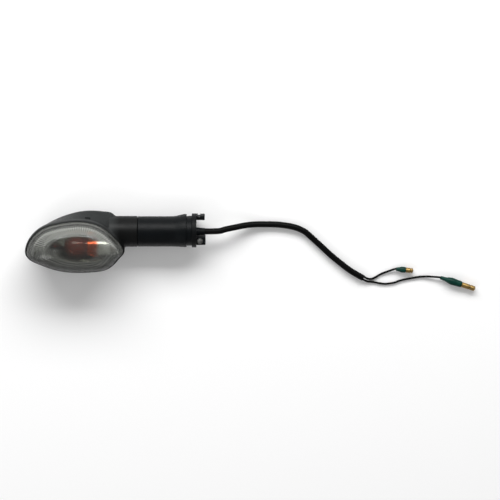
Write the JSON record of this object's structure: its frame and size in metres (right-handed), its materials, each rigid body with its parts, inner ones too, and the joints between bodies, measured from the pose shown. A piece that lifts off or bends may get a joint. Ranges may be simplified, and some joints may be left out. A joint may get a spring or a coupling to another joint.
{
  "type": "turn signal indicator",
  "caption": "Teardrop motorcycle turn signal with clear lens, amber bulb, flexible rubber stalk, lugged mounting flange and two-wire cable with bullet terminals.",
  "frame": {"origin": "middle of the body's box, without the free cable, on the surface that the lamp lies on", "axes": "+X from the head's tip along the stalk to the cable, +Y towards the lamp's upper side, +Z out of the lens"},
  "size_m": [0.3449, 0.0668, 0.0419],
  "materials": {
    "housing_plastic": "satin dark grey",
    "lens_clear": "polished clear, slightly smoky, fluted inside",
    "rubber_black": "matte moulded",
    "plated_steel": "bright plated",
    "reflector_silver": "vacuum metallised",
    "bulb_amber": "amber lacquered glass",
    "bulb_clear": "clear",
    "filament_metal": "drawn wire",
    "resin_brown": "moulded resin",
    "brass": "slightly dulled",
    "cable_black": "satin PVC",
    "bracket_plastic": "moulded",
    "sleeve_green": "soft PVC"
  },
  "bodies": {
    "mount": {"mount_bracket": "bracket_plastic", "bracket_bush": "plated_steel", "cable_grommet": "rubber_black", "cable_sheath": "cable_black", "signal_wire": "cable_black", "ground_wire": "cable_black", "signal_sleeve": "sleeve_green", "ground_sleeve": "sleeve_green", "signal_bullet": "brass", "ground_bullet": "brass"},
    "stalk": {"rubber_stalk": "rubber_black", "stalk_cable": "cable_black"},
    "head": {"housing": "housing_plastic", "lens": "lens_clear", "lens_gasket": "rubber_black", "lens_screw": "plated_steel", "screw_seal": "rubber_black", "reflector": "reflector_silver", "socket_shell": "plated_steel", "socket_cup": "resin_brown", "contact_spring": "plated_steel", "ground_terminal": "brass", "signal_lead": "cable_black", "ground_lead": "cable_black", "neck_seal": "rubber_black"},
    "plunger": {"plunger_disc": "resin_brown", "centre_contact": "brass"},
    "bulb": {"bulb_glass": "bulb_amber", "bulb_stem": "bulb_clear", "bulb_filament": "filament_metal", "bulb_cap": "plated_steel", "bulb_insulator": "resin_brown", "bulb_contact": "plated_steel"}
  },
  "joints": [
    {"name": "stalk_fore_aft", "type": "hinge", "parent": "mount", "child": "stalk", "pos_m": [0.04361, 0.00696, 0.013], "axis": [0, 1, 0], "range_deg": [-25, 25], "stiffness_Nm_per_rad": 1.75, "deforming": ["rubber_stalk", "stalk_cable"]},
    {"name": "stalk_up_down", "type": "hinge", "parent": "stalk", "child": "head", "pos_m": [0.03196, 0.00696, 0.013], "axis": [0, 0, 1], "range_deg": [-25, 25], "stiffness_Nm_per_rad": 1.75, "deforming": ["rubber_stalk", "stalk_cable"]},
    {"name": "bulb_push", "type": "slide", "parent": "head", "child": "plunger", "axis": [1, 0, 0], "range_m": [0, 0.0015], "stiffness_N_per_m": 3000, "springref_m": -0.001, "deforming": ["contact_spring"]},
    {"name": "bulb_turn", "type": "hinge", "parent": "plunger", "child": "bulb", "pos_m": [-0.00856, -0.00384, 0.017], "axis": [1, 0, 0], "range_deg": [0, 20]}
  ]
}
